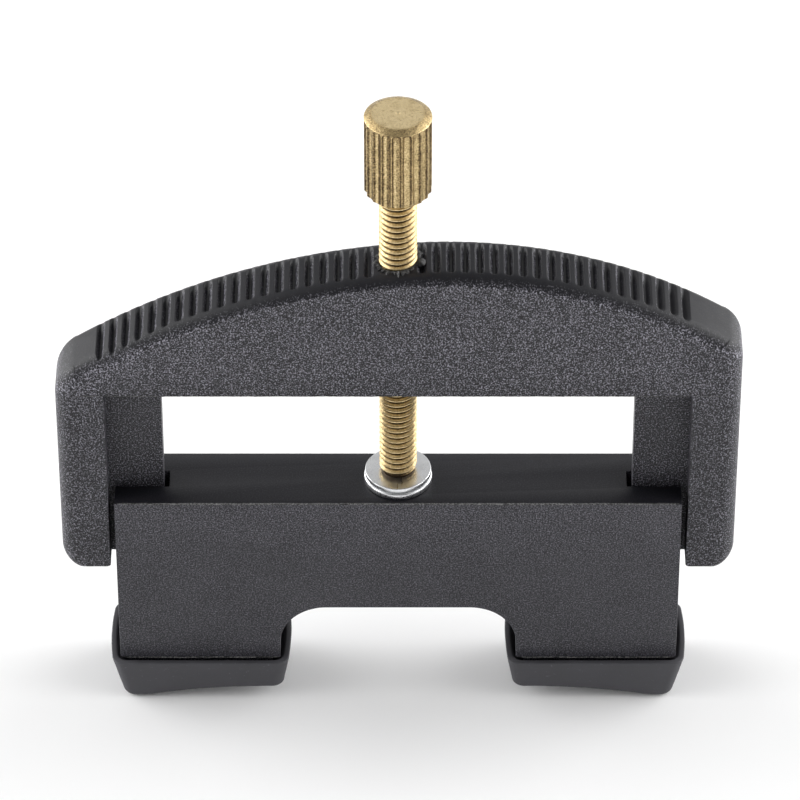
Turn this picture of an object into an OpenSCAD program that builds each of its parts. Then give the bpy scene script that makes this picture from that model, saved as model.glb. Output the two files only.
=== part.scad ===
// String lifter for a violin or viola. It stands on the instrument's arched top with a foot on
// each side of the bridge line, and its screw jacks the yoke up under the strings.
// Millimetres, +Z up. The origin is on the screw's axis, midway between the front and back
// faces, at the level of the lowest edges of the soles.

/* [Yoke] */
// Width over the two legs
yoke_w = 71.6; // [70:0.2:76]
// Thickness of the yoke, front to back
yoke_t = 7.2; // [6.6:0.1:7.6]
// Height of the arch, from its underside to the highest point of its crown
crown_h = 15.36; // [15:0.02:17]
// Radius of the crown's curve
crown_r = 61.8; // [58:0.2:70]
// Distance of the crown's highest point from the screw's axis, to the right
crown_x = 3.96; // [2:0.02:5]
// Rounding of the crown's front and back edges
crown_edge_r = 1.5; // [1:0.1:2]
// Roundings of the upper left and upper right corners
shoulder_r = [4.75, 3.3];
// Rounding of the legs' outer upright edges
leg_edge_r = 1.9; // [1:0.1:2.4]
// Width of a leg's outer column
column_w = 5.15; // [4.6:0.05:5.4]
// Length of a leg's column below the arch
column_len = 23.8; // [22:0.1:24]
// Rounding of a column's outer bottom corner
column_foot_r = 2.4; // [1:0.1:3]
// Distance from the screw's axis to a web's free edge
web_x = 24.8; // [24.7:0.05:26]
// Thickness of a web
web_t = 2.3; // [2:0.05:2.35]
// Length of a web below the arch
web_len = 23.3; // [21:0.1:23.3]

/* [Crown grooves] */
// Number of grooves on each side of the screw
groove_count = 20; // [10:1:20]
// Distance along the crown from the screw's axis to the first groove, left and right
groove_start = [3.05, 2.45];
// Distance from one groove to the next, along the crown, left and right
groove_pitch = [1.57, 1.49];
// Width of a groove
groove_w = 0.5; // [0.3:0.05:0.7]
// Depth of a groove
groove_d = 0.38; // [0.2:0.02:0.5]
// Length of a groove, front to back
groove_len = 4.8; // [3.6:0.1:5]

/* [Slide block] */
// Width of the block
block_w = 60; // [59:0.1:60.4]
// Thickness of the block, front to back
block_t = 8.4; // [8:0.1:8.6]
// Height of the block's top
block_top_z = 27.13; // [26.8:0.01:27.4]
// Height of the block's bottom edge
block_low_z = 5.4; // [5.35:0.05:5.6]
// Width of a slot
slot_t = 2.5; // [2.45:0.05:2.8]
// Distance from the screw's axis to a slot's inner end
slot_x = 24.25; // [24:0.05:24.4]
// Half width of the cut-out between the feet
cutout_x = 12.7; // [12:0.1:13]
// Height of the cut-out's ceiling
cutout_z = 12.5; // [11:0.1:13.5]
// Radius of the cut-out's upper corners
cutout_r = 5; // [3:0.1:6]

/* [Foot caps] */
// Height of a cap's rim
rim_z = 5.25; // [5.1:0.05:5.3]
// Inner and outer ends of a cap's rim, from the screw's axis
rim_x = [11.6, 31.2];
// Inner and outer ends of a cap's sole, from the screw's axis
sole_x = [12.6, 29.7];
// Half depth of a cap at its rim and at its sole
cap_half_y = [5.15, 4.75];
// Radius of the bulge of a cap's two ends, seen from above
cap_bulge_r = 36; // [30:1:60]
// Thickness of a cap's wall at the rim
cap_wall = 0.6; // [0.5:0.05:0.7]
// Radius of the hollow across each sole
sole_r = 75; // [70:1:90]
// Distance from the screw's axis to the highest point of the soles' curve
sole_peak_x = 13; // [12:0.1:13]
// Rounding of a sole's outer edge
sole_edge_r = 1; // [0.6:0.1:1.2]

/* [Thumbscrew] */
// Diameter of the knurled head
head_d = 7; // [6.6:0.1:8]
// Height of the head's lower and upper ends
head_z = [65.3, 75.3];
// Depth of the head's edge chamfer, across and along, at the top
head_top_chamfer = [0.78, 0.38];
// The same at the bottom
head_low_chamfer = [0.8, 0.6];
// Number of flutes of the knurl
flute_count = 20; // [16:1:24]
// Depth of a flute
flute_depth = 0.32; // [0.1:0.01:0.4]
// Radius of a flute's hollow
flute_r = 0.55; // [0.5:0.05:0.8]
// Outside diameter of the M4 thread
thread_d = 3.95; // [3.9:0.01:3.96]
// Diameter of the stud's thin end
journal_d = 3; // [2.9:0.05:3]
// Height of the stud's lower end
stud_low_z = 12.9; // [12.8:0.05:13]

/* [Washers and clip] */
// Outside diameters of the lower and upper washers
washer_d = [7.24, 7];
// Thicknesses of the lower and upper washers
washer_t = [0.85, 0.55];
// Hole of both washers
washer_hole_d = 3.2; // [3.15:0.05:3.3]
// End play between the two washers
end_play = 0.08; // [0.05:0.01:0.1]
// Outside diameter of the clip
clip_d = 6; // [5.4:0.1:6.2]
// Thickness of the clip
clip_t = 0.6; // [0.5:0.05:0.6]

/* [Hidden] */
$fn = 96;

// Gap between the arch and the block with the screw as it stands
open_gap = 14.27;
// Clearance on the radius of a turning fit
run_gap = 0.045;
// Overhang that lets one cut pass right through another shape
cut = 1;

// Yoke
arch_z = block_top_z + open_gap;
crown_z = arch_z + crown_h;
crown_mid_z = crown_z - crown_r;
crown_lean = asin(crown_x / crown_r);
half_w = yoke_w / 2;
column_x = half_w - column_w;

// Left and right: the side's sign, its shoulder's middle, and where the shoulder meets the crown
side = [-1, 1];
shoulder_x = [for (i = [0, 1]) side[i] * (half_w - shoulder_r[i])];
shoulder_z = [for (i = [0, 1])
  crown_mid_z + sqrt(pow(crown_r - shoulder_r[i], 2) - pow(shoulder_x[i] - crown_x, 2))];
touch_x = [for (i = [0, 1])
  crown_x + (shoulder_x[i] - crown_x) * crown_r / (crown_r - shoulder_r[i])];

// Block and caps
half_block = block_w / 2;
tenon_x = [13.6, 29];
tenon_half_y = 3.4;
tenon_low_z = 3;
clip_pocket_d = 7;
clip_pocket_h = 1.6;

// The sole's outer edge is a small arc that touches the ground, the outer flank and the hollow
flank_lean = atan((rim_x[1] - sole_x[1]) / rim_z);
sole_edge_x = sole_x[1] - sole_edge_r / tan((90 + flank_lean) / 2);
sole_lean = asin((sole_edge_x - sole_peak_x) / (sole_r + sole_edge_r));
sole_end_lean = asin((sole_peak_x - sole_x[0]) / sole_r);
sole_mid_z = sole_edge_r - (sole_r + sole_edge_r) * cos(sole_lean);

// Thumbscrew
lower_washer_z = block_top_z;
upper_washer_z = lower_washer_z + washer_t[0] + end_play;
shoulder_seat_z = upper_washer_z + washer_t[1];
clip_z = cutout_z + clip_pocket_h - clip_t - end_play;
clip_groove_d = 2.3;
stud_seat = 6;
head_r = head_d / 2;

// Points of an arc about mid, from angle a to angle b in n steps
function arc(mid, r, a, b, n) =
  [for (i = [0 : n]) mid + r * [cos(a + (b - a) * i / n), sin(a + (b - a) * i / n)]];

// Extrude an outline drawn in X and Z along Y, centred
module along_y(depth) {
  rotate([90, 0, 0]) linear_extrude(depth, center = true) children();
}

// Extrude an outline drawn in Y and Z along X, from x0 to x1
module along_x(x0, x1) {
  translate([x0, 0, 0]) rotate([90, 0, 90]) linear_extrude(x1 - x0) children();
}

// A shape and its mirror image across the screw's axis
module both_sides() {
  children();
  mirror([1, 0, 0]) children();
}

// A rectangle given by its lowest and highest corners
module span(low, high) {
  translate(low) square(high - low);
}

// Yoke: a disc with a rounded rim gives the crown, and two outlines trim it
module crown_disc() {
  straight = yoke_t / 2 - crown_edge_r;
  translate([crown_x, 0, crown_mid_z]) rotate([90, 0, 0]) rotate_extrude() {
    span([0, -yoke_t / 2], [crown_r - crown_edge_r, yoke_t / 2]);
    span([0, -straight], [crown_r, straight]);
    for (y = [-straight, straight]) translate([crown_r - crown_edge_r, y]) circle(crown_edge_r);
  }
}

module yoke_plan() {
  straight_y = yoke_t / 2 - leg_edge_r;
  straight_x = half_w - leg_edge_r;
  span([-half_w, -straight_y], [half_w, straight_y]);
  span([-straight_x, -yoke_t / 2], [straight_x, yoke_t / 2]);
  for (x = [-straight_x, straight_x], y = [-straight_y, straight_y]) translate([x, y]) circle(leg_edge_r);
}

module column_outline(i) {
  low = arch_z - column_len;
  mirror([1 - i, 0]) difference() {
    union() {
      span([column_x, low + column_foot_r], [half_w, shoulder_z[i]]);
      span([column_x, low], [half_w - column_foot_r, shoulder_z[i]]);
      translate([half_w - column_foot_r, low + column_foot_r]) circle(column_foot_r);
      translate([half_w - shoulder_r[i], shoulder_z[i]]) circle(shoulder_r[i]);
    }
    span([0, 0], [column_x, arch_z]);
  }
}

module yoke_elevation() {
  span([touch_x[0], arch_z], [touch_x[1], crown_z + cut]);
  for (i = [0, 1]) column_outline(i);
}

module web() {
  translate([web_x, -web_t / 2, arch_z - web_len])
    cube([half_w - column_w / 2 - web_x, web_t, web_len + crown_edge_r]);
}

module crown_grooves(i) {
  for (k = [0 : groove_count - 1]) {
    along = side[i] * (groove_start[i] + k * groove_pitch[i]);
    translate([crown_x, 0, crown_mid_z]) rotate([0, along / crown_r * 180 / PI - crown_lean, 0])
      translate([-groove_w / 2, -groove_len / 2, crown_r - groove_d])
        cube([groove_w, groove_len, groove_d + cut]);
  }
}

module yoke() {
  color("dimgray") difference() {
    union() {
      intersection() {
        crown_disc();
        linear_extrude(crown_z + cut) yoke_plan();
        along_y(yoke_t + 2 * cut) yoke_elevation();
      }
      both_sides() web();
    }
    for (i = [0, 1]) crown_grooves(i);
    translate([0, 0, arch_z - cut]) cylinder(h = crown_h + 2 * cut, r = thread_d / 2 + run_gap);
  }
}

// Slide block: slotted at both ends, cut out below, with a short tenon under each foot
module cutout_outline() {
  flat_x = cutout_x - cutout_r;
  span([-cutout_x, 0], [cutout_x, cutout_z - cutout_r]);
  span([-flat_x, 0], [flat_x, cutout_z]);
  for (x = [-flat_x, flat_x]) translate([x, cutout_z - cutout_r]) circle(cutout_r);
}

module slot() {
  translate([slot_x, -slot_t / 2, block_low_z])
    cube([half_block - slot_x + cut, slot_t, block_top_z - block_low_z + cut]);
}

module tenon() {
  translate([tenon_x[0], -tenon_half_y, tenon_low_z])
    cube([tenon_x[1] - tenon_x[0], 2 * tenon_half_y, block_low_z - tenon_low_z]);
}

module slide_block() {
  color("darkslategray") {
    difference() {
      along_y(block_t) difference() {
        span([-half_block, block_low_z], [half_block, block_top_z]);
        cutout_outline();
      }
      both_sides() slot();
      cylinder(h = block_top_z + cut, r = journal_d / 2 + run_gap);
      translate([0, 0, cutout_z - cut]) cylinder(h = clip_pocket_h + cut, d = clip_pocket_d);
    }
    both_sides() tenon();
  }
}

// Foot cap: a flared tray, hollowed under its sole to sit on an arched surface
module cap_elevation() {
  edge = arc([sole_edge_x, sole_edge_r], sole_edge_r, -flank_lean, -90 - sole_lean, 8);
  sole = arc([sole_peak_x, sole_mid_z], sole_r, 90 - sole_lean, 90 + sole_end_lean, 24);
  polygon(concat([[rim_x[0], rim_z], [rim_x[1], rim_z]], edge, sole));
}

module cap_profile() {
  polygon([[-cap_half_y[0], rim_z], [cap_half_y[0], rim_z],
           [cap_half_y[1], 0], [-cap_half_y[1], 0]]);
}

module cap_plan(inset) {
  intersection() {
    span([rim_x[0], -cap_half_y[0]], [rim_x[1], cap_half_y[0]]);
    translate([rim_x[1] - inset - cap_bulge_r, 0]) circle(cap_bulge_r, $fn = 240);
    translate([rim_x[0] + inset + cap_bulge_r, 0]) circle(cap_bulge_r, $fn = 240);
  }
}

module cap_body() {
  intersection() {
    along_y(2 * cap_half_y[0]) cap_elevation();
    along_x(rim_x[0], rim_x[1]) cap_profile();
    linear_extrude(rim_z) cap_plan(0);
  }
}

module cap_hollow() {
  top = rim_z + cap_wall;
  intersection() {
    along_y(2 * cap_half_y[0]) polygon([[rim_x[0] + cap_wall, top], [rim_x[1] - cap_wall, top],
      [tenon_x[1], tenon_low_z], [tenon_x[0], tenon_low_z]]);
    along_x(rim_x[0], rim_x[1]) polygon([[-cap_half_y[0] + cap_wall, top],
      [cap_half_y[0] - cap_wall, top], [tenon_half_y, tenon_low_z], [-tenon_half_y, tenon_low_z]]);
    linear_extrude(top) cap_plan(cap_wall);
  }
}

module foot_cap() {
  difference() {
    cap_body();
    cap_hollow();
  }
}

module foot_cap_right() {
  color("black") foot_cap();
}

module foot_cap_left() {
  color("black") mirror([1, 0, 0]) foot_cap();
}

// Thumbscrew: a knurled head pressed on a stud with a thin lower end
module thumbscrew_head() {
  low = head_z[0];
  high = head_z[1];
  color("darkgoldenrod") difference() {
    rotate_extrude() polygon([[0, low], [head_r - head_low_chamfer[0], low],
      [head_r, low + head_low_chamfer[1]], [head_r, high - head_top_chamfer[1]],
      [head_r - head_top_chamfer[0], high], [0, high]]);
    for (i = [0 : flute_count - 1]) rotate([0, 0, i * 360 / flute_count])
      translate([head_r + flute_r - flute_depth, 0, low - cut])
        cylinder(h = high - low + 2 * cut, r = flute_r);
    translate([0, 0, low - cut]) cylinder(h = stud_seat + cut, d = thread_d);
  }
}

module thumbscrew_stud() {
  color("goldenrod") {
    translate([0, 0, shoulder_seat_z])
      cylinder(h = head_z[0] + stud_seat - shoulder_seat_z, d = thread_d);
    difference() {
      translate([0, 0, stud_low_z]) cylinder(h = shoulder_seat_z - stud_low_z, d = journal_d);
      translate([0, 0, clip_z]) difference() {
        cylinder(h = clip_t, d = journal_d + cut);
        translate([0, 0, -cut]) cylinder(h = clip_t + 2 * cut, d = clip_groove_d);
      }
    }
  }
}

module ring(low, height, outer_d, inner_d) {
  translate([0, 0, low]) difference() {
    cylinder(h = height, d = outer_d);
    translate([0, 0, -cut]) cylinder(h = height + 2 * cut, d = inner_d);
  }
}

module thrust_washer_lower() {
  color("silver") ring(lower_washer_z, washer_t[0], washer_d[0], washer_hole_d);
}

module thrust_washer_upper() {
  color("lightgray") ring(upper_washer_z, washer_t[1], washer_d[1], washer_hole_d);
}

module retaining_clip() {
  color("gray") ring(clip_z, clip_t, clip_d, clip_groove_d);
}

yoke();
slide_block();
foot_cap_left();
foot_cap_right();
thumbscrew_head();
thumbscrew_stud();
thrust_washer_upper();
thrust_washer_lower();
retaining_clip();
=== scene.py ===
import math

import bmesh
import bpy
from mathutils import Matrix, Vector, noise


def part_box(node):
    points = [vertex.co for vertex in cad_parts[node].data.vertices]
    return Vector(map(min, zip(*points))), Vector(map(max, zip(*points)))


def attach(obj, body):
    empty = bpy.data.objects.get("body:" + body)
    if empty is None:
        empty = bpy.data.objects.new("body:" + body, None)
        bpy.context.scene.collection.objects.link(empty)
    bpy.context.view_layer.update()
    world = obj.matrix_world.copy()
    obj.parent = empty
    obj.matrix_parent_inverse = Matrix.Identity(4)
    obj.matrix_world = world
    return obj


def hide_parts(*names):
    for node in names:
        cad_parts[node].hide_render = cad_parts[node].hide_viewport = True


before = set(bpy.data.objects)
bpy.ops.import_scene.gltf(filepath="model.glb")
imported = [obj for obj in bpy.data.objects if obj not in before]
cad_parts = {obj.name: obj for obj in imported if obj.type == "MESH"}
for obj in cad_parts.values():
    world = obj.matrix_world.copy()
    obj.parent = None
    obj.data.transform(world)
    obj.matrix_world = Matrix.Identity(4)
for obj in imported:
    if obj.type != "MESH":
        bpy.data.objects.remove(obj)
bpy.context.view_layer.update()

MM = 0.001


# ---------------------------------------------------------------- places taken from the frame

def box_mm(node):
    """Lowest and highest corners of a CAD node, in millimetres."""
    low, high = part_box(node)
    return low / MM, high / MM


YOKE_LOW, YOKE_HIGH = box_mm("yoke")
BLOCK_LOW, BLOCK_HIGH = box_mm("slide_block")
CAP_LOW, CAP_HIGH = box_mm("foot_cap_right")
HEAD_LOW, HEAD_HIGH = box_mm("thumbscrew_head")
STUD_LOW, STUD_HIGH = box_mm("thumbscrew_stud")
UPPER_LOW, UPPER_HIGH = box_mm("thrust_washer_upper")
LOWER_LOW, LOWER_HIGH = box_mm("thrust_washer_lower")
CLIP_LOW, CLIP_HIGH = box_mm("retaining_clip")

# Yoke, in millimetres
HALF_W = YOKE_HIGH.x
HALF_T = YOKE_HIGH.y
LEG_Z = YOKE_LOW.z
COLUMN_LEN = 23.8
ARCH_Z = LEG_Z + COLUMN_LEN
COLUMN_X = HALF_W - 5.15
FOOT_R = 2.4
INNER_FOOT_R = 0.6
INNER_ROUND = 0.07
FOOT_ROUND = 0.5
LEG_ROUND = 1.9
CROWN_ROUND = 1.5
CROWN_SWEEP = 72  # degrees that the crown's edge rounding turns through; the others turn through 90
WEB_X = 24.8
WEB_HALF_T = 1.15
WEB_Z = ARCH_Z - 23.3
HOLE_R = 2.02

# The crown is two arcs that meet on the screw's axis on a slope of CROWN_LEAN radians, rising to
# the right. LEFT and RIGHT are the sides' signs, and a table of both gives the left side's value first.
LEFT, RIGHT = -1, 1
CROWN_AXIS_Z = ARCH_Z + 15.25
CROWN_LEAN = 0.104
CROWN_R = {LEFT: 75.2, RIGHT: 51.9}
SHOULDER_R = {LEFT: 4.75, RIGHT: 3.3}

# The edge where the front face meets the crown's rounding is two arcs as well, with a small one at
# each end. It wanders a little, as a polished edge does.
FACE_AXIS_Z = ARCH_Z + 14.3
FACE_LEAN = 0.083
FACE_R = {LEFT: 62.0, RIGHT: 53.2}
FACE_END_X = {LEFT: 33.2, RIGHT: 33.0}
FACE_WANDER = 0.07

# Crown grooves, along the crown from the screw's axis. They run out between the two distances of
# GROOVE_END_Y in front of the middle, further forward by GROOVE_FLARE near the crown's ends. Behind
# the middle they keep GROOVE_BACK of their depth.
GROOVE_COUNT = 20
GROOVE_START = {LEFT: 3.05, RIGHT: 2.45}
GROOVE_PITCH = {LEFT: 1.57, RIGHT: 1.49}
GROOVE_DEPTH = 0.62
GROOVE_FLOOR = 0.08
GROOVE_MOUTH = 0.54
GROOVE_END_Y = (1.7, 2.7)
GROOVE_FLARE = {LEFT: 0.9, RIGHT: 0.2}
FLARE_START, FLARE_LEN = 23, 9
GROOVE_BACK = 0.5
BACK_START, BACK_LEN = 0.8, 1.8

# Slide block
BLOCK_X = BLOCK_HIGH.x
BLOCK_HALF_T = BLOCK_HIGH.y
BLOCK_TOP = BLOCK_HIGH.z
BLOCK_EDGE_Z = 5.4
TENON_LOW = BLOCK_LOW.z
TENON_X = (13.6, 29.0)
TENON_HALF_T = 3.4
SLOT_X = 24.25
SLOT_HALF_T = 1.25
CUTOUT_X = 12.7
CUTOUT_Z = 12.5
CUTOUT_R = 5.0
BORE_R = 1.55
CLIP_POCKET_R = 3.5
CLIP_POCKET_H = 1.6

# Foot caps
RIM_Z = CAP_HIGH.z
RIM_X = (CAP_LOW.x, CAP_HIGH.x)
RIM_HALF_Y = CAP_HIGH.y
SOLE_X = (12.6, 29.7)
SOLE_HALF_Y = 4.75
CAP_WALL = 0.6
SOLE_R = 75.0
SOLE_PEAK_X = 13.0
SOLE_ROUND = 1.0
INNER_SOLE_ROUND = 0.3
SOLE_ROUND_START, SOLE_ROUND_LEN = 26.5, 3
LIP_R = 0.14

# Thumbscrew
HEAD_R = HEAD_HIGH.x
FLUTES = 20
FLUTE_DEPTH = 0.32
FLUTE_HOLLOW_R = 0.55
FLUTE_HALF_WIDTH = math.radians(7.93)
FLUTE_PHASE = math.radians(-2.3)
SOCKET_DEPTH = 6
THREAD_R = STUD_HIGH.x
THREAD_PITCH = 0.7
THREAD_DEPTH = 0.4
JOURNAL_R = 1.5
CLIP_GROOVE_R = 1.15
WASHER_BORE_R = 1.6
SHOULDER_Z = UPPER_HIGH.z


# ---------------------------------------------------------------- mesh helpers

def new_object(name, points_mm, faces, sharp_deg=35):
    """A mesh object from points in millimetres, smooth except at edges sharper than sharp_deg."""
    mesh = bpy.data.meshes.new(name)
    mesh.from_pydata([Vector(p) * MM for p in points_mm], [], faces)
    body = bmesh.new()
    body.from_mesh(mesh)
    bmesh.ops.remove_doubles(body, verts=body.verts, dist=2e-7)
    bmesh.ops.dissolve_degenerate(body, edges=body.edges, dist=1e-7)
    bmesh.ops.recalc_face_normals(body, faces=body.faces)
    body.to_mesh(mesh)
    body.free()
    shade(mesh, sharp_deg)
    obj = bpy.data.objects.new(name, mesh)
    bpy.context.scene.collection.objects.link(obj)
    return obj


def shade(mesh, sharp_deg):
    """Smooth shading, broken at edges sharper than sharp_deg."""
    mesh.polygons.foreach_set("use_smooth", [True] * len(mesh.polygons))
    mesh.set_sharp_from_angle(angle=math.radians(sharp_deg))
    mesh.update()


def skin(rings, closed=True, wrap=False):
    """Quads between successive rings of equal length; wrap joins the last ring to the first."""
    count = len(rings[0])
    faces = []
    for i in range(len(rings) if wrap else len(rings) - 1):
        a = i * count
        b = (i + 1) % len(rings) * count
        for j in range(count if closed else count - 1):
            k = (j + 1) % count
            faces.append((a + j, a + k, b + k, b + j))
    return [p for ring in rings for p in ring], faces


def capped(points, faces, count):
    """The faces, with the first and the last ring of count points closed."""
    last = len(points) - 1
    return faces + [tuple(range(count)), tuple(range(last, last - count, -1))]


def around(radius, angle, z):
    """A point at a distance from the screw's axis and an angle about it."""
    return radius * math.cos(angle), radius * math.sin(angle), z


def lathe(profile, steps, wrap=False):
    """Points and faces of a profile of (radius, height) turned about the screw's axis."""
    rings = []
    for radius, height in profile:
        radius = max(radius, 1e-4)
        rings.append([around(radius, 2 * math.pi * j / steps, height) for j in range(steps)])
    return skin(rings, wrap=wrap)


def arc(mid, radius, start_deg, end_deg, steps):
    """Points of an arc in a plane, ends included."""
    span = end_deg - start_deg
    angles = [math.radians(start_deg + span * i / steps) for i in range(steps + 1)]
    return [Vector((mid[0] + radius * math.cos(a), mid[1] + radius * math.sin(a))) for a in angles]


def apply_modifiers(obj):
    """Replaces the object's mesh with what its modifiers make of it."""
    graph = bpy.context.evaluated_depsgraph_get()
    mesh = bpy.data.meshes.new_from_object(obj.evaluated_get(graph))
    obj.modifiers.clear()
    old = obj.data
    obj.data = mesh
    bpy.data.meshes.remove(old)


def combine(obj, cutters, operation):
    """Boolean of obj with each cutter, applied; the cutters are deleted."""
    for cutter in cutters:
        step = obj.modifiers.new("step", "BOOLEAN")
        step.object = cutter
        step.operation = operation
        step.solver = "EXACT"
        apply_modifiers(obj)
        bpy.data.objects.remove(cutter)
    return obj


def prism(name, outline, y0, y1):
    """A solid from an outline in X and Z, extruded from y0 to y1."""
    points, faces = skin([[(x, y, z) for x, z in outline] for y in (y0, y1)])
    return new_object(name, points, capped(points, faces, len(outline)))


def box(name, x0, x1, z0, z1, half_y, side=RIGHT):
    """A box centred on the tool's depth, with its X mirrored for the left side."""
    outline = [(side * x, z) for x, z in ((x0, z0), (x1, z0), (x1, z1), (x0, z1))]
    return prism(name, outline, -half_y, half_y)


def rod(name, radius, z0, z1, steps):
    """A cylinder on the screw's axis."""
    points, faces = lathe([(0, z0), (radius, z0), (radius, z1), (0, z1)], steps)
    return new_object(name, points, faces)


def bevel(obj, width_mm):
    """Rounds the object's sharp edges."""
    step = obj.modifiers.new("bevel", "BEVEL")
    step.width = width_mm * MM
    step.segments = 2
    step.limit_method = "ANGLE"
    step.angle_limit = math.radians(40)
    apply_modifiers(obj)


def mix(a, b, t):
    """The value a share t of the way from a to b."""
    return a + (b - a) * t


def ease(t):
    """0 below 0 and 1 above 1, with a smooth climb between them."""
    t = min(max(t, 0.0), 1.0)
    return t * t * (3 - 2 * t)


def mirrored(obj, name):
    """A mirror image of obj across the screw's axis."""
    mesh = obj.data.copy()
    mesh.transform(Matrix.Scale(-1, 4, (1, 0, 0)))
    mesh.flip_normals()
    mesh.name = name
    copy = bpy.data.objects.new(name, mesh)
    bpy.context.scene.collection.objects.link(copy)
    return copy


# ---------------------------------------------------------------- materials

class Nodes:
    """A short way to build the node tree of a material or a world."""

    def __init__(self, owner):
        owner.use_nodes = True
        self.owner = owner
        self.tree = owner.node_tree
        self.shader = self.tree.nodes.get("Principled BSDF") or self.tree.nodes["Background"]
        self.place = self.tree.nodes.new("ShaderNodeTexCoord")

    def link(self, a, b):
        self.tree.links.new(a, b)

    def noise(self, size_mm, detail, roughness, source=None):
        """Noise whose blobs are about size_mm across."""
        node = self.tree.nodes.new("ShaderNodeTexNoise")
        node.inputs["Scale"].default_value = 1 / (size_mm * MM)
        node.inputs["Detail"].default_value = detail
        node.inputs["Roughness"].default_value = roughness
        self.link(source or self.place.outputs["Object"], node.inputs["Vector"])
        return node.outputs["Fac"]

    def stretch(self, scale, rotation=(0, 0, 0)):
        """Object coordinates scaled by axis, for grain that runs one way."""
        node = self.tree.nodes.new("ShaderNodeMapping")
        node.inputs["Scale"].default_value = scale
        node.inputs["Rotation"].default_value = rotation
        self.link(self.place.outputs["Object"], node.inputs["Vector"])
        return node.outputs["Vector"]

    def ramp(self, value, low, high, out_low, out_high):
        """value remapped from low..high to out_low..out_high, clamped."""
        node = self.tree.nodes.new("ShaderNodeMapRange")
        node.inputs["From Min"].default_value = low
        node.inputs["From Max"].default_value = high
        node.inputs["To Min"].default_value = out_low
        node.inputs["To Max"].default_value = out_high
        self.link(value, node.inputs["Value"])
        return node.outputs["Result"]

    def math(self, operation, a, b=0):
        """A maths node; a and b are numbers or sockets."""
        node = self.tree.nodes.new("ShaderNodeMath")
        node.operation = operation
        for socket, value in zip(node.inputs, (a, b)):
            if isinstance(value, (int, float)):
                socket.default_value = value
            else:
                self.link(value, socket)
        return node.outputs["Value"]

    def invert(self, value):
        """1 minus the value."""
        return self.math("SUBTRACT", 1.0, value)

    def scaled(self, value, scale, offset):
        """The value times scale, plus offset."""
        return self.math("ADD", self.math("MULTIPLY", value, scale), offset)

    def colours(self, value, stops):
        """A colour ramp through stops of (position, (r, g, b))."""
        node = self.tree.nodes.new("ShaderNodeValToRGB")
        ramp = node.color_ramp
        while len(ramp.elements) < len(stops):
            ramp.elements.new(1.0)
        for element, (position, colour) in zip(ramp.elements, stops):
            element.position = position
            element.color = (*colour, 1)
        self.link(value, node.inputs["Fac"])
        return node.outputs["Color"]

    def bump(self, height, depth_mm, strength=1.0):
        """The surface's normal, tilted as if height raised it by up to depth_mm."""
        node = self.tree.nodes.new("ShaderNodeBump")
        node.inputs["Strength"].default_value = strength
        node.inputs["Distance"].default_value = depth_mm * MM
        self.link(height, node.inputs["Height"])
        return node.outputs["Normal"]

    def parts(self, output):
        """The X, Y and Z of one of the coordinate outputs."""
        split = self.tree.nodes.new("ShaderNodeSeparateXYZ")
        self.link(self.place.outputs[output], split.inputs["Vector"])
        return [split.outputs[axis] for axis in "XYZ"]

    def facing_up(self, start, end):
        """0 on walls and 1 on faces that look up, from the surface's own normal."""
        return self.ramp(self.parts("Normal")[2], start, end, 0, 1)

    def axis_distance(self):
        """Distance from the screw's axis, in metres."""
        x, y, _ = self.parts("Object")
        squares = self.math("ADD", self.math("MULTIPLY", x, x), self.math("MULTIPLY", y, y))
        return self.math("SQRT", squares)

    def set(self, **values):
        """Gives the shader's inputs their values or sources, and returns the material or world."""
        for key, value in values.items():
            socket = self.shader.inputs[key.replace("_", " ")]
            if isinstance(value, bpy.types.NodeSocket):
                self.link(value, socket)
            else:
                socket.default_value = value
        return self.owner


def new_nodes(name):
    """The nodes of a new material."""
    return Nodes(bpy.data.materials.new(name))


SMOOTH_BLACK = (0.0056, 0.0056, 0.0086)


def moulded_plastic(name, dark, light, grain_mm, relief_mm, smooth_from, smooth_to):
    """Black plastic with a spark-eroded grain on its walls and a smoother, darker finish on its top.

    The grain's pale specks are boosted where a wall turns into the top, a painted highlight, and are
    weaker below the arch.
    """
    n = new_nodes(name)
    grain = n.noise(grain_mm, 2.0, 0.6)
    cloud = n.noise(5.0, 3.0, 0.5)
    wall = n.scaled(n.invert(n.facing_up(smooth_from, smooth_to)), 0.85, 0.15)
    # Painted highlight: extra pale specks on the rounding where a wall turns up into the top
    edge_glint = n.math("MULTIPLY", n.facing_up(0.03, 0.15), n.invert(n.facing_up(0.3, 0.5)))
    height = n.ramp(n.parts("Object")[2], (ARCH_Z - 2) * MM, (ARCH_Z + 3) * MM, 0.78, 1)
    speck = n.math("POWER", n.ramp(grain, 0.42, 0.68, 0, 1), 1.6)
    speck = n.math("MULTIPLY", speck, n.scaled(edge_glint, 0.5, 1.0))
    tone = n.math("ADD", n.math("MULTIPLY", speck, 0.85), n.math("MULTIPLY", cloud, 0.15))
    tone = n.math("MULTIPLY", n.math("MULTIPLY", tone, wall), height)
    scuffs = n.noise(1.2, 4.0, 0.7, n.stretch((1.0, 1.0, 0.25)))
    return n.set(Base_Color=n.colours(tone, [(0.0, SMOOTH_BLACK), (0.15, dark), (0.9, light)]),
                 Roughness=n.ramp(scuffs, 0.35, 0.7, 0.37, 0.48), IOR=1.38,
                 Normal=n.bump(n.math("MULTIPLY", grain, wall), relief_mm))


def soft_rubber(name):
    """Dull black rubber with a faint bloom and dust."""
    n = new_nodes(name)
    bloom = n.noise(3.0, 4.0, 0.6)
    pores = n.noise(0.12, 2.0, 0.5)
    dust = n.ramp(n.noise(0.35, 2.0, 0.6), 0.66, 0.74, 0, 0.5)
    tone = n.math("ADD", n.math("MULTIPLY", bloom, 0.5), dust)
    black, grey = (0.034, 0.0335, 0.038), (0.102, 0.1, 0.114)
    return n.set(Base_Color=n.colours(tone, [(0.0, black), (1.0, grey)]),
                 Roughness=n.ramp(bloom, 0.3, 0.7, 0.6, 0.74), IOR=1.5,
                 Normal=n.bump(pores, 0.012, 0.6))


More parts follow.
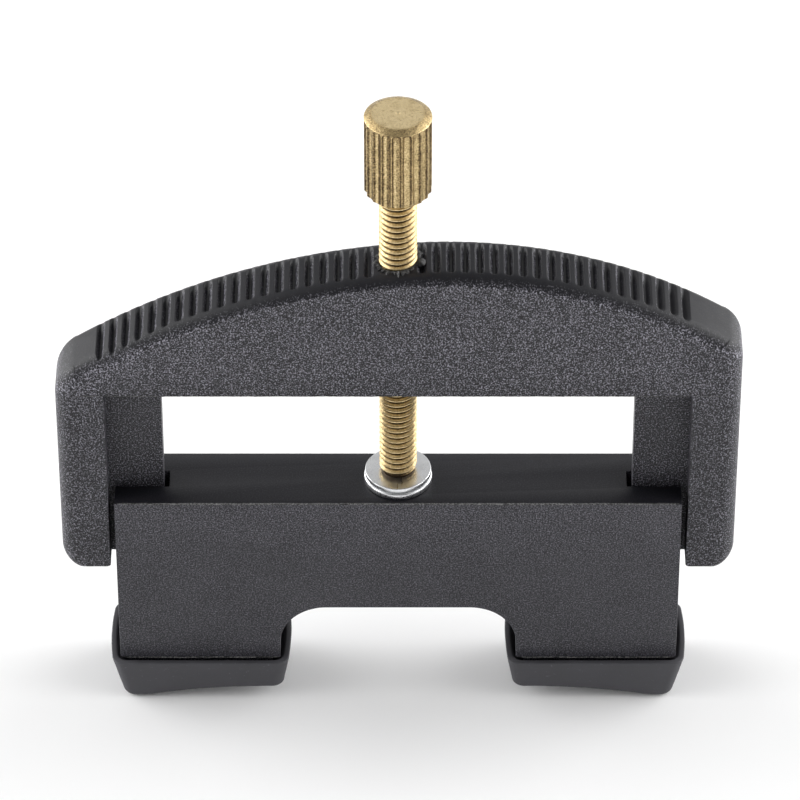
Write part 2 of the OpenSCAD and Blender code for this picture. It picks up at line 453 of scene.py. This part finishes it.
def brass(n, tone, relief, roughness):
    """Brass whose tone runs from bright at 0 to brown tarnish at 1."""
    bright, dull, tarnish = (0.88, 0.705, 0.405), (0.49, 0.365, 0.18), (0.07, 0.046, 0.026)
    return n.set(Base_Color=n.colours(tone, [(0.0, bright), (0.45, dull), (1.0, tarnish)]),
                 Metallic=1.0, Roughness=n.ramp(tone, 0.0, 1.0, roughness, roughness + 0.25),
                 Normal=n.bump(relief, 0.02, 0.8))


def head_finish(name):
    """Turned brass with rings, a bright middle and a dull rim on its top, and darkened flutes.

    Both walls of each flute are tarnished. The anticlockwise one, seen from above, also carries a
    painted shade, strongest on the left of the head.
    """
    n = new_nodes(name)
    radius = n.axis_distance()
    x, y, _ = n.parts("Object")
    up = n.facing_up(0.8, 0.95)
    upright = n.invert(n.facing_up(0.3, 0.6))
    wall_foot = n.ramp(radius, 3.2 * MM, 3.34 * MM, 0, 1)
    wall_top = n.ramp(radius, 3.42 * MM, 3.49 * MM, 1, 0)
    both_walls = n.math("MULTIPLY", n.math("MULTIPLY", wall_foot, wall_top), 0.6)
    # Painted shade: one wall of each flute is darkened, most on the head's left, in place of light falling
    # from one side
    lead = 0.04
    turn = n.math("SUBTRACT", n.math("ARCTAN2", y, x), FLUTE_PHASE - lead)
    painted_flute_shade = n.ramp(n.math("SINE", n.math("MULTIPLY", turn, FLUTES)), 0.1, 0.8, 0, 1)
    painted_flute_shade = n.math("MULTIPLY", painted_flute_shade, n.ramp(x, -2.8 * MM, 0.9 * MM, 0.8, 0.1))
    flute_tarnish_and_shade = n.math("MULTIPLY", n.math("ADD", both_walls, painted_flute_shade), upright)
    ring_mm = 0.16
    rings = n.math("SINE", n.math("MULTIPLY", radius, 2 * math.pi / (ring_mm * MM)))
    grain = n.noise(0.16, 3.0, 0.7)
    patches = n.noise(1.0, 5.0, 0.7)
    middle = n.ramp(radius, 0.3 * MM, 0.75 * MM, 0.48, 0.3)
    rim = n.math("ADD", n.ramp(radius, 2.2 * MM, 2.68 * MM, 0, 0.15),
                 n.ramp(radius, 2.7 * MM, 2.75 * MM, 0, 0.5))
    tone = n.math("ADD", n.ramp(patches, 0.3, 0.7, 0.18, 0.5), n.ramp(grain, 0.35, 0.7, -0.3, 0.4))
    tone = n.math("ADD", tone, n.math("MULTIPLY", up, n.math("SUBTRACT", rim, middle)))
    tone = n.math("ADD", tone, flute_tarnish_and_shade)
    relief = n.math("ADD", n.math("MULTIPLY", n.math("MULTIPLY", rings, up), 0.15), grain)
    return brass(n, tone, relief, 0.26)


def thread_finish(name):
    """Bright cut brass, brown in the thread's roots."""
    n = new_nodes(name)
    root = n.ramp(n.axis_distance(), 1.62 * MM, 1.8 * MM, 1.0, 0)
    grain = n.noise(0.22, 4.0, 0.7)
    tone = n.math("ADD", root, n.ramp(grain, 0.35, 0.7, 0.05, 0.5))
    return brass(n, tone, grain, 0.34)


def plated_steel(name, base, roughness):
    """Plated or oiled steel with fine scratches."""
    n = new_nodes(name)
    scratches = n.noise(0.3, 4.0, 0.7, n.stretch((1.0, 0.15, 1.0), (0, 0, 0.6)))
    stains = n.noise(1.4, 3.0, 0.6)
    dull = tuple(0.86 * c for c in base)
    return n.set(Base_Color=n.colours(stains, [(0.3, dull), (0.7, base)]), Metallic=1.0,
                 Roughness=n.ramp(scratches, 0.3, 0.7, roughness, roughness + 0.12),
                 Normal=n.bump(scratches, 0.006, 0.6))


def torn_plastic(name, pale):
    """Plastic bruised pale where a tool or a mould edge tore it."""
    n = new_nodes(name)
    torn = n.noise(0.18, 3.0, 0.6)
    dark = (0.008, 0.008, 0.009)
    return n.set(Base_Color=n.colours(torn, [(0.42, dark), (0.66, (pale, pale, pale))]), Roughness=0.6,
                 Normal=n.bump(torn, 0.03, 0.6))


def floor_finish(name):
    """Pale matte floor with the faintest mottle."""
    n = new_nodes(name)
    mottle = n.noise(60.0, 3.0, 0.5)
    low, high = (0.93, 0.93, 0.93), (0.96, 0.96, 0.96)
    return n.set(Base_Color=n.colours(mottle, [(0.3, low), (0.7, high)]), Roughness=0.7, IOR=1.3)


# ---------------------------------------------------------------- yoke

def arc_middle(side, radius, lean, axis_z):
    """Middle of one side's arc, given its radius and its height and slope on the screw's axis."""
    return Vector((side * radius * math.sin(lean), axis_z - radius * math.cos(lean)))


def arc_height(side, radius, lean, axis_z, x):
    """Height of one side's arc at a distance from the screw's axis."""
    mid = arc_middle(side, radius, lean, axis_z)
    return mid.y + math.sqrt(radius ** 2 - (x - mid.x) ** 2)


def crown_height(x):
    """Height of the crown's ridge at a place along the yoke."""
    side = LEFT if x < 0 else RIGHT
    return arc_height(side, CROWN_R[side], CROWN_LEAN, CROWN_AXIS_Z, side * x)


def yoke_half_outline(side):
    """Sections of one half of the yoke, from the crown's middle round the leg to the arch's underside.

    Each is (outer point, face point, depth of the edge rounding, arc length along the crown or None).
    The outer point lies on the rim, and the face point where the rounding reaches the front face.
    Distances are outwards from the screw's axis on either side.
    """
    sections = []

    def add(outer, face, depth, along=None):
        sections.append((Vector(outer), Vector(face), depth, along))

    radius, shoulder_r = CROWN_R[side], SHOULDER_R[side]
    crown_mid = arc_middle(side, radius, CROWN_LEAN, CROWN_AXIS_Z)
    shoulder = Vector((HALF_W - shoulder_r, 0))
    end = math.asin((shoulder.x - crown_mid.x) / (radius - shoulder_r))
    shoulder.y = crown_mid.y + (radius - shoulder_r) * math.cos(end)
    start = -side * CROWN_LEAN
    end_x = crown_mid.x + radius * math.sin(end)
    squeeze = 1 - FACE_END_X[side] / end_x
    samples = 540
    for i in range(samples):
        a = mix(start, end, i / samples)
        outer = crown_mid + radius * Vector((math.sin(a), math.cos(a)))
        x = outer.x * (1 - squeeze * (outer.x / end_x) ** 2)
        face = Vector((x, arc_height(side, FACE_R[side], FACE_LEAN, FACE_AXIS_Z, x)))
        face.y += FACE_WANDER * noise.noise(Vector((1.7 * x, 4 * side, 0))) * min(1, x / 2)
        add(outer, face, CROWN_ROUND, radius * (a - start))
    face_end = arc_middle(side, FACE_R[side], FACE_LEAN, FACE_AXIS_Z)
    lean = math.asin((FACE_END_X[side] - face_end.x) / FACE_R[side])
    face_r = (HALF_W - LEG_ROUND - FACE_END_X[side]) / (1 - math.sin(lean))
    face_mid = Vector((HALF_W - LEG_ROUND - face_r, face_end.y + (FACE_R[side] - face_r) * math.cos(lean)))
    turns = 26
    outer_arc = arc(shoulder, shoulder_r, 90 - math.degrees(end), 0, turns)
    face_arc = arc(face_mid, face_r, 90 - math.degrees(lean), 0, turns)
    for i, (outer, face) in enumerate(zip(outer_arc, face_arc)):
        add(outer, face, mix(CROWN_ROUND, LEG_ROUND, ease(i / turns)))
    side_steps = 16
    low_z = LEG_Z + FOOT_R
    for i in range(1, side_steps):
        t = i / side_steps
        face = (HALF_W - LEG_ROUND, mix(face_mid.y, low_z, t))
        add((HALF_W, mix(shoulder.y, low_z, t)), face, LEG_ROUND)
    turns = 14
    corner = Vector((HALF_W - FOOT_R, low_z))
    for i in range(turns + 1):
        t = i / turns
        a = math.radians(-90 * t)
        outer = corner + FOOT_R * Vector((math.cos(a), math.sin(a)))
        face = corner + Vector(((FOOT_R - LEG_ROUND) * math.cos(a), (FOOT_R - FOOT_ROUND) * math.sin(a)))
        add(outer, face, mix(LEG_ROUND, FOOT_ROUND, ease(t)))
    inner = Vector((COLUMN_X + INNER_FOOT_R, LEG_Z + INNER_FOOT_R))
    for i in range(1, turns + 1):
        t = i / turns
        a = math.radians(-90 - 90 * t)
        outer = inner + INNER_FOOT_R * Vector((math.cos(a), math.sin(a)))
        face = inner + Vector(((INNER_FOOT_R - INNER_ROUND) * math.cos(a),
                               (INNER_FOOT_R - FOOT_ROUND) * math.sin(a)))
        add(outer, face, mix(FOOT_ROUND, INNER_ROUND, ease(t)))
    for i in range(1, side_steps + 1):
        t = i / side_steps
        face = (COLUMN_X + INNER_ROUND, mix(inner.y, ARCH_Z + INNER_ROUND, t))
        add((COLUMN_X, mix(inner.y, ARCH_Z, t)), face, INNER_ROUND)
    for i in range(1, side_steps + 1):
        x = COLUMN_X * (1 - i / side_steps)
        face = (x * (1 + INNER_ROUND / COLUMN_X), ARCH_Z + INNER_ROUND)
        add((x, ARCH_Z), face, INNER_ROUND)
    return sections


def groove_depth(side, along):
    """Depth of the crown's grooves at an arc length from the screw's axis."""
    index = round((along - GROOVE_START[side]) / GROOVE_PITCH[side])
    if not 0 <= index < GROOVE_COUNT:
        return 0.0
    away = abs(along - GROOVE_START[side] - index * GROOVE_PITCH[side])
    return GROOVE_DEPTH * (1 - ease((away - GROOVE_FLOOR) / (GROOVE_MOUTH - GROOVE_FLOOR)))


def yoke_section(side, outer, face, depth, along):
    """Points of one section across the yoke, from its front face to its back face."""
    inward = face - outer
    length = inward.length
    groove = 0.0 if along is None else groove_depth(side, along)
    flare = 0.0 if along is None else GROOVE_FLARE[side] * ease((along - FLARE_START) / FLARE_LEN)
    round_steps, flat_steps = 14, 12
    sweep = math.radians(90 if along is None else CROWN_SWEEP)
    rows = []
    for i in range(round_steps + 1):
        a = sweep * (1 - i / round_steps)
        rows.append((-(HALF_T - depth) - depth * math.sin(a) / math.sin(sweep),
                     length * (1 - math.cos(a)) / (1 - math.cos(sweep))))
    half = HALF_T - depth
    rows += [(-half + 2 * half * i / flat_steps, 0.0) for i in range(1, flat_steps)]
    rows += [(-y, inset) for y, inset in reversed(rows[:round_steps + 1])]
    start_y, end_y = (limit + flare for limit in GROOVE_END_Y)
    points = []
    for y, inset in rows:
        run_out = 1 - ease((-y - start_y) / (end_y - start_y))
        run_out -= (1 - GROOVE_BACK) * ease((y - BACK_START) / BACK_LEN)
        inset = (inset ** 4 + (groove * run_out) ** 4) ** 0.25
        inset = min(inset, length)
        p = outer + inward * (inset / length)
        points.append((side * p.x, y, p.y))
    return points


def build_yoke():
    """The arch with its two webs, and the screw's hole through its crown."""
    right = [yoke_section(RIGHT, *section) for section in yoke_half_outline(RIGHT)]
    left = [yoke_section(LEFT, *section) for section in yoke_half_outline(LEFT)]
    rings = right + left[-2:0:-1]
    points, faces = skin(rings, closed=False, wrap=True)
    row = len(rings[0])
    front = [i * row for i in range(len(rings))]
    back = [i * row + row - 1 for i in range(len(rings))]
    faces += [tuple(front), tuple(reversed(back))]
    yoke = new_object("yoke_body", points, faces)
    combine(yoke, [yoke_web(side) for side in (LEFT, RIGHT)], "UNION")
    combine(yoke, [rod("screw_hole", HOLE_R, ARCH_Z - 1, CROWN_AXIS_Z + 1, 96)], "DIFFERENCE")
    shade(yoke.data, 17)
    return yoke


def yoke_web(side):
    """A guide web, rooted in its column and in the arch."""
    root = 0.8
    web = box("web", WEB_X, COLUMN_X + root, WEB_Z, ARCH_Z + root, WEB_HALF_T, side)
    bevel(web, 0.12)
    return web


# ---------------------------------------------------------------- slide block

def cutout_outline():
    """The cut-out between the feet, open at the bottom."""
    below = BLOCK_EDGE_Z - 1
    flat = CUTOUT_X - CUTOUT_R
    mid_z = CUTOUT_Z - CUTOUT_R
    right = arc((flat, mid_z), CUTOUT_R, 0, 90, 20)
    left = arc((-flat, mid_z), CUTOUT_R, 90, 180, 20)
    return [(CUTOUT_X, below)] + right + left + [(-CUTOUT_X, below)]


def build_block():
    """The cross block: cut-out, slots for the webs, bore, clip pocket, and tenons for the caps."""
    block = box("block_body", -BLOCK_X, BLOCK_X, BLOCK_EDGE_Z, BLOCK_TOP, BLOCK_HALF_T)
    cutters = [prism("cut", cutout_outline(), -BLOCK_HALF_T - 1, BLOCK_HALF_T + 1)]
    slot_low, slot_high = BLOCK_EDGE_Z - 1, BLOCK_TOP + 1
    cutters += [box("slot", SLOT_X, BLOCK_X + 1, slot_low, slot_high, SLOT_HALF_T, side)
                for side in (LEFT, RIGHT)]
    combine(block, cutters, "DIFFERENCE")
    bevel(block, 0.1)
    holes = [rod("bore", BORE_R, CUTOUT_Z - 1, BLOCK_TOP + 1, 64),
             rod("pocket", CLIP_POCKET_R, CUTOUT_Z - 1, CUTOUT_Z + CLIP_POCKET_H, 64)]
    combine(block, holes, "DIFFERENCE")
    tenons = [box("tenon", *TENON_X, TENON_LOW, BLOCK_EDGE_Z + 0.5, TENON_HALF_T, side)
              for side in (LEFT, RIGHT)]
    combine(block, tenons, "UNION")
    shade(block.data, 32)
    return block


# ---------------------------------------------------------------- foot caps

def plan_loop(x0, x1, half_y, corner, swell):
    """A loop seen from above: a rounded rectangle whose two ends swell outwards."""
    mid_x = (x0 + x1) / 2
    half_x = (x1 - x0) / 2 - swell
    end_steps, side_steps = 10, 26
    quarter = [Vector((half_x, (half_y - corner) * i / end_steps)) for i in range(end_steps)]
    quarter += arc((half_x - corner, half_y - corner), corner, 0, 90, 8)
    quarter += [Vector((mix(half_x - corner, 0, i / side_steps), half_y))
                for i in range(1, side_steps + 1)]
    for p in quarter:
        p.x += swell * (1 - (p.y / half_y) ** 2)
    loop = quarter + [Vector((-p.x, p.y)) for p in quarter[-2::-1]]
    loop += [Vector((-p.x, -p.y)) for p in loop[1:-1]]
    return [Vector((p.x + mid_x, p.y)) for p in loop]


def sole_height(x):
    """Height of the sole's hollow at a distance from the screw's axis."""
    flank = math.atan((RIM_X[1] - SOLE_X[1]) / RIM_Z)
    edge_x = SOLE_X[1] - SOLE_ROUND / math.tan((math.pi / 2 + flank) / 2)
    lean = math.asin((edge_x - SOLE_PEAK_X) / (SOLE_R + SOLE_ROUND))
    mid_z = SOLE_ROUND - (SOLE_R + SOLE_ROUND) * math.cos(lean)
    return mid_z + math.sqrt(SOLE_R ** 2 - (x - SOLE_PEAK_X) ** 2)


def rounding(a, corner, b, steps):
    """Points of the arc that touches the lines a-corner and corner-b at a and b."""
    weight = math.sin((a - corner).angle(b - corner) / 2)
    points = []
    for i in range(steps + 1):
        t = i / steps
        shares = ((1 - t) ** 2, 2 * weight * t * (1 - t), t ** 2)
        points.append((a * shares[0] + corner * shares[1] + b * shares[2]) / sum(shares))
    return points


def on_sole(p):
    """The point of the sole above a place in the plan."""
    return Vector((p.x, p.y, sole_height(p.x)))


def cap_column(sole, rim, lip, floor):
    """One strip of a cap's surface, from the sole's middle up its flank and over its rim to the floor.

    sole, rim, lip and floor are the strip's places in the plan on the cap's four outlines.
    """
    middle = Vector(((SOLE_X[0] + SOLE_X[1]) / 2, 0))
    # The share of the flank's height, from z = 0 to the rim, at which it meets the hollow
    share = 0.0
    for _ in range(6):
        share = sole_height(mix(sole.x, rim.x, share)) / RIM_Z
    edge_glint = Vector((*sole.lerp(rim, share), share * RIM_Z))
    top = Vector((*rim, RIM_Z))
    up = (top - edge_glint).normalized()
    flat = middle.lerp(edge_glint.xy, 0.98)
    along = (on_sole(flat) - edge_glint).normalized()
    turn = (along.angle(up)) / 2
    radius = mix(INNER_SOLE_ROUND, SOLE_ROUND, ease((sole.x - SOLE_ROUND_START) / SOLE_ROUND_LEN))
    reach = radius / math.tan(turn)
    inner = on_sole((edge_glint + along * reach).xy)
    strip = [on_sole(middle.lerp(inner.xy, i / 10)) for i in range(10)]
    strip += rounding(inner, edge_glint, edge_glint + up * reach, 6)
    rise = edge_glint + up * reach
    strip += [rise.lerp(top - up * LIP_R, i / 6) for i in range(1, 6)]
    lip_top = Vector((*lip, RIM_Z))
    inward = (lip_top - top).normalized()
    strip += rounding(top - up * LIP_R, top, top + inward * LIP_R, 3)
    base = Vector((*floor, TENON_LOW))
    down = (base - lip_top).normalized()
    strip += rounding(lip_top - inward * LIP_R, lip_top, lip_top + down * LIP_R, 3)
    strip += [(lip_top + down * LIP_R).lerp(base, i / 3) for i in range(1, 4)]
    strip += [base.lerp(Vector((*middle, TENON_LOW)), i / 3) for i in range(1, 4)]
    return strip


def build_cap():
    """The right foot cap. Its upper part drifts unevenly towards the tool's middle, by under 0.1 mm."""
    wall = CAP_WALL
    loops = zip(plan_loop(*SOLE_X, SOLE_HALF_Y, 1.0, 0.15),
                plan_loop(*RIM_X, RIM_HALF_Y, 1.2, 0.37),
                plan_loop(RIM_X[0] + wall, RIM_X[1] - wall, RIM_HALF_Y - wall, 0.8, 0.37),
                plan_loop(*TENON_X, TENON_HALF_T, 0.3, 0))
    columns = []
    drift = 0.035
    for sole, rim, lip, floor in loops:
        column = cap_column(sole, rim, lip, floor)
        for p in column:
            sway = drift * ease((p.z - 2) / 3)
            p.x -= sway * (1 + noise.noise(p * 0.35))
            p.y -= math.copysign(sway, p.y) * (1 + noise.noise(p * 0.35 + Vector((7, 3, 1))))
        columns.append(column)
    points, faces = skin(columns, closed=False, wrap=True)
    return new_object("foot_cap_right_rubber", points, faces, 45)


# ---------------------------------------------------------------- thumbscrew

def flute_radius(offset, share):
    """Distance from the axis to the knurled side, at an angle from the middle of the nearest flute.

    share is how much of the flute's depth is reached at that height.
    """
    reach = HEAD_R + FLUTE_HOLLOW_R - FLUTE_DEPTH * share
    aside = reach * math.sin(offset)
    if abs(aside) >= FLUTE_HOLLOW_R:
        return HEAD_R
    return min(HEAD_R, reach * math.cos(offset) - math.sqrt(FLUTE_HOLLOW_R ** 2 - aside ** 2))


def head_column(angle, offset):
    """One strip of the head's surface, from the middle of its top, down its side and up its socket."""
    top_in, top_down = 0.78, 0.42
    low_in, low_up = 0.8, 0.6
    flute_top, flute_full = 0.46, 0.82
    radius = flute_radius(offset, 1.0)
    top_z, low_z = HEAD_HIGH.z, HEAD_LOW.z
    soft = 0.05
    rim = Vector((HEAD_R - top_in, top_z))
    high = Vector((HEAD_R, top_z - top_down))
    low = Vector((radius, low_z + low_up * (radius - HEAD_R + low_in) / low_in))
    foot = Vector((HEAD_R - low_in, low_z))
    # A dimple in the middle of the top, and a shallow turned ring round it
    dips = ((0.0, 0.1), (0.12, 0.08), (0.28, 0.0), (0.9, 0.0), (1.0, 0.02), (1.1, 0.0), (1.9, 0.0))
    strip = [Vector((r, top_z - dip)) for r, dip in dips]
    strip += rounding(rim - Vector((soft, 0)), rim, rim.lerp(high, soft), 2)
    strip += rounding(high.lerp(rim, soft / (high - rim).length), high, high - Vector((0, 0.03)), 3)
    run_out = 6
    for i in range(run_out + 1):
        share = i / run_out
        z = top_z - mix(flute_top, flute_full, share)
        strip.append(Vector((flute_radius(offset, math.sqrt(share)), z)))
    full = strip[-1]
    strip += [full.lerp(low, i / 4) for i in range(1, 4)]
    strip += rounding(low + Vector((0, soft)), low, low.lerp(foot, soft / (low - foot).length), 3)
    socket_r, socket_z = THREAD_R + 0.01, low_z + SOCKET_DEPTH
    strip += [foot, Vector((socket_r, low_z)), Vector((socket_r, socket_z)), Vector((0, socket_z))]
    return [around(p.x, angle, p.y) for p in strip]


def build_head():
    """The knurled head: columns across each flute, and one in the middle of each land."""
    pitch = 2 * math.pi / FLUTES
    offsets = [FLUTE_HALF_WIDTH * i / 7 for i in range(-7, 8)] + [pitch / 2]
    columns = []
    for k in range(FLUTES):
        columns += [head_column(FLUTE_PHASE + k * pitch + offset, offset) for offset in offsets]
    points, faces = skin(columns, closed=False, wrap=True)
    return new_object("knurled_head", points, faces, 24)


def thread_radius(phase):
    """Distance from the axis to the thread at a share of one turn: root at 0, crest at 0.5."""
    crest_half, root_half = 0.07, 0.44
    away = abs(phase % 1 - 0.5)
    return THREAD_R - THREAD_DEPTH * min(max((away - crest_half) / (root_half - crest_half), 0.0), 1.0)


def build_stud():
    """Right-hand thread as a skin whose rows climb with the helix, then the thin end with its groove."""
    stops = [0.0, 0.06, 0.25, 0.43, 0.5, 0.57, 0.75, 0.94]
    steps = 60
    run_out_from, run_out_len = 0.1, 0.5
    low_z, high_z = SHOULDER_Z, STUD_HIGH.z
    turns = math.ceil((high_z - low_z) / THREAD_PITCH) + 2
    columns = []
    for j in range(steps + 1):
        angle = 2 * math.pi * j / steps
        strip = []
        for turn in range(-2, turns):
            for stop in stops:
                z = low_z + THREAD_PITCH * (turn + stop + j / steps)
                z = min(max(z, low_z), high_z)
                radius = thread_radius((z - low_z) / THREAD_PITCH - j / steps)
                run_out = ease((z - low_z - run_out_from) / run_out_len)
                radius = mix(THREAD_R - THREAD_DEPTH, radius, run_out)
                strip.append(around(radius, angle, z))
        tail = [(JOURNAL_R, low_z), (JOURNAL_R, CLIP_HIGH.z), (CLIP_GROOVE_R, CLIP_HIGH.z),
                (CLIP_GROOVE_R, CLIP_LOW.z), (JOURNAL_R, CLIP_LOW.z), (JOURNAL_R, STUD_LOW.z + 0.2),
                (JOURNAL_R - 0.2, STUD_LOW.z), (0, STUD_LOW.z)]
        for radius, z in tail:
            strip.insert(0, around(radius, angle, z))
        strip.append((0, 0, high_z))
        columns.append(strip)
    points, faces = skin(columns, closed=False)
    return new_object("threaded_stud", points, faces, 28)


def build_washer(name, low, high, outer_r, soft, tilt_deg):
    """A washer with rolled edges, tilted a little about its middle."""
    half = soft / 2
    profile = arc((outer_r - soft, low + soft), soft, -90, 0, 4)
    profile += arc((outer_r - soft, high - soft), soft, 0, 90, 4)
    profile += arc((WASHER_BORE_R + half, high - half), half, 90, 180, 4)
    profile += arc((WASHER_BORE_R + half, low + half), half, 180, 270, 4)
    points, faces = lathe(profile, 128, wrap=True)
    tilt = Matrix.Rotation(math.radians(tilt_deg), 4, "Y")
    middle = Vector((0, 0, (low + high) / 2))
    points = [tilt @ (Vector(p) - middle) + middle for p in points]
    return new_object(name, points, faces, 50)


def build_clip():
    """A split ring in the stud's groove, narrower towards its gap."""
    half_gap, steps = 35, 72
    soft = 0.1
    low, high = CLIP_LOW.z, CLIP_HIGH.z
    outer_r = CLIP_HIGH.x
    rings = []
    for i in range(steps + 1):
        angle = math.radians(mix(half_gap, 360 - half_gap, i / steps))
        taper = 0.35 * ease(abs(i / steps - 0.5) * 2)
        section = ((CLIP_GROOVE_R, low + soft), (CLIP_GROOVE_R + soft, low),
                   (outer_r - taper - soft, low), (outer_r - taper, low + soft),
                   (outer_r - taper, high - soft), (outer_r - taper - soft, high),
                   (CLIP_GROOVE_R + soft, high), (CLIP_GROOVE_R, high - soft))
        rings.append([around(radius, angle, z) for radius, z in section])
    points, faces = skin(rings)
    return new_object("split_clip", points, capped(points, faces, len(rings[0])), 50)


# ---------------------------------------------------------------- burrs

def ragged(along, seed, scale=1.0):
    """An uneven value from 0 to 1 that changes along a line."""
    coarse = noise.noise(Vector((along * 0.45 * scale, seed, 0)))
    fine = noise.noise(Vector((along * 2.6 * scale, seed + 9, 0)))
    return min(max(0.45 + 0.7 * coarse + 0.8 * fine, 0.0), 1.0)


def edge_burr(name, x0, x1, y, z, size, seed):
    """A thin torn line of flash along an edge that runs across the front of the yoke or the block."""
    steps = int((x1 - x0) / 0.12)
    rings = []
    for i in range(steps + 1):
        x = mix(x0, x1, i / steps)
        ends = ease(min(i, steps - i) / 8)
        tall = size * (0.15 + 0.85 * ragged(x, seed)) * ends + 0.005
        out = 0.55 * size * (0.2 + 0.8 * ragged(x, seed + 31)) * ends + 0.005
        rings.append([(x, y + 0.1, z - 0.1), (x, y - out, z - 0.35 * tall),
                      (x, y - 0.7 * out, z + 0.45 * tall), (x, y + 0.12, z + 0.25 * tall),
                      (x, y + 0.25, z - 0.02)])
    points, faces = skin(rings)
    return new_object(name, points, capped(points, faces, len(rings[0])), 60)


def hole_burr():
    """Torn plastic thrown up round the screw hole in the crown."""
    steps = 150
    rings = []
    for i in range(steps):
        angle = 2 * math.pi * i / steps
        rag = ragged(10 * math.cos(angle) + 20, 5 + 2 * math.sin(angle), 1.4)
        wide = 0.15 + 0.8 * rag
        tall = 0.04 + 0.24 * rag * rag
        strip = []
        for out, lift in ((-0.03, -0.6), (-0.03, 0.3 * tall), (0.3 * wide, tall),
                          (0.7 * wide, 0.5 * tall), (wide, -0.1), (0.1, -0.7)):
            x, y, _ = around(HOLE_R + out, angle, 0)
            strip.append((x, y, crown_height(x) + lift))
        rings.append(strip)
    points, faces = skin(rings, wrap=True)
    return new_object("hole_burr", points, faces, 60)


# ---------------------------------------------------------------- assembly

def place(piece, body, material, node=None):
    """The piece rides on a CAD body, takes a finish, and stands for a CAD node if one is named."""
    piece.data.materials.clear()
    piece.data.materials.append(material)
    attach(piece, body)
    if node:
        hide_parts(node)


yoke_plastic = moulded_plastic("yoke_plastic", (0.008, 0.008, 0.01), (0.345, 0.336, 0.388),
                               0.165, 0.08, 0.2, 0.9)
block_plastic = moulded_plastic("block_plastic", (0.031, 0.0305, 0.036), (0.172, 0.167, 0.193),
                                0.155, 0.035, 0.4, 0.8)
foot_rubber = soft_rubber("foot_rubber")
head_brass = head_finish("head_brass")
stud_brass = thread_finish("stud_brass")
zinc_plate = plated_steel("zinc_plate", (0.78, 0.79, 0.8), 0.24)
clip_steel = plated_steel("clip_steel", (0.38, 0.38, 0.39), 0.34)
torn = torn_plastic("torn_plastic", 0.06)
flecked = torn_plastic("flecked_edge", 0.22)

place(build_yoke(), "yoke", yoke_plastic, "yoke")
place(hole_burr(), "yoke", torn)
for name, x0, x1, size, seed in (
        ("arch_edge_burr", -COLUMN_X + 0.1, COLUMN_X - 0.1, 0.1, 21),
        ("seam_flash_left", -HALF_W + LEG_ROUND, -COLUMN_X, 0.14, 5),
        ("seam_flash_right", COLUMN_X, HALF_W - LEG_ROUND, 0.09, 8)):
    place(edge_burr(name, x0, x1, -HALF_T, ARCH_Z, size, seed), "yoke", flecked)
place(build_block(), "base", block_plastic, "slide_block")
for name, x0, x1, z, size, seed in (
        ("top_edge_burr", -BLOCK_X + 0.3, BLOCK_X - 0.3, BLOCK_TOP, 0.2, 3),
        ("low_edge_burr_left", -BLOCK_X + 0.2, -CUTOUT_X - 0.2, BLOCK_EDGE_Z, 0.22, 12),
        ("low_edge_burr_right", CUTOUT_X + 0.2, BLOCK_X - 0.2, BLOCK_EDGE_Z, 0.22, 17)):
    place(edge_burr(name, x0, x1, -BLOCK_HALF_T, z, size, seed), "base", flecked)
right_cap = build_cap()
left_cap = mirrored(right_cap, "foot_cap_left_rubber")
place(right_cap, "base", foot_rubber, "foot_cap_right")
place(left_cap, "base", foot_rubber, "foot_cap_left")
place(build_washer("washer_lower", LOWER_LOW.z, LOWER_HIGH.z, LOWER_HIGH.x, 0.24, 0.0),
      "base", zinc_plate, "thrust_washer_lower")
place(build_washer("washer_upper", UPPER_LOW.z, UPPER_HIGH.z, UPPER_HIGH.x, 0.1, -1.1),
      "thumbscrew", zinc_plate, "thrust_washer_upper")
place(build_head(), "thumbscrew", head_brass, "thumbscrew_head")
place(build_stud(), "thumbscrew", stud_brass, "thumbscrew_stud")
place(build_clip(), "thumbscrew", clip_steel, "retaining_clip")


# ---------------------------------------------------------------- floor, light and camera

FLOOR_HALF = 3.0
SIDE_LIGHT = 6.2


def add_floor():
    """A floor under the feet, outside the part."""
    low, high = -FLOOR_HALF, FLOOR_HALF
    mesh = bpy.data.meshes.new("floor")
    corners = [(low, low, 0), (high, low, 0), (high, high, 0), (low, high, 0)]
    mesh.from_pydata(corners, [], [(0, 1, 2, 3)])
    mesh.materials.append(floor_finish("floor_finish"))
    floor = bpy.data.objects.new("floor", mesh)
    bpy.context.scene.collection.objects.link(floor)


def add_world():
    """Two broad bright sides, a little behind the object, and between them a band that is dim in front."""
    n = Nodes(bpy.data.worlds.new("studio"))
    x, y, _ = n.parts("Generated")
    side = n.ramp(n.math("ABSOLUTE", x), 0.5, 0.9, 0, 1)
    behind = n.ramp(y, -0.6, 0.1, 0.25, 1)
    middle = n.ramp(y, -0.7, 0.7, 0.14, 0.67)
    dim = n.math("MULTIPLY", middle, n.invert(side))
    strength = n.math("ADD", dim, n.math("MULTIPLY", n.math("MULTIPLY", side, behind), SIDE_LIGHT))
    bpy.context.scene.world = n.set(Color=(1, 1, 1, 1), Strength=strength)


def add_camera():
    """A long lens that looks down at the front."""
    lens = bpy.data.cameras.new("camera")
    lens.lens = 244.9
    lens.sensor_width = 36.0
    lens.clip_start = 0.02
    camera = bpy.data.objects.new("camera", lens)
    camera.location = Vector((0.2, -440.4, 401.1)) * MM
    camera.rotation_euler = (math.radians(50.49), 0, 0)
    bpy.context.scene.collection.objects.link(camera)
    bpy.context.scene.camera = camera


add_floor()
add_world()
add_camera()
bpy.context.scene.view_settings.view_transform = "Standard"
